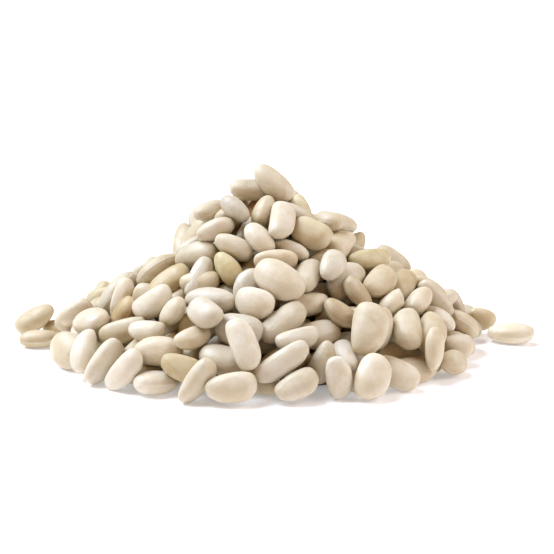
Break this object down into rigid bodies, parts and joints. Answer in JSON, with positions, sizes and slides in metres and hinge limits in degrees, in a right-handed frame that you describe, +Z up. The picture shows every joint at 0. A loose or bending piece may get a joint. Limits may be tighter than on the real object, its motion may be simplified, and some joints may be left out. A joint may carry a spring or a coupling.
{
  "type": "heap of dried white beans",
  "caption": "Loose conical heap of dried white beans lying on a flat surface, with a stray bean beside it; a dry pantry staple shown ready to measure out.",
  "frame": {"origin": "on the surface that the heap lies on, under the heap", "axes": "+Z up, +X to the right in the front view, -Y towards the viewer"},
  "size_m": [0.1694, 0.1329, 0.0594],
  "materials": {
    "bean_skin": "satin"
  },
  "bodies": {
    "root": {"bean_heap": "bean_skin", "loose_bean": "bean_skin"}
  },
  "joints": []
}
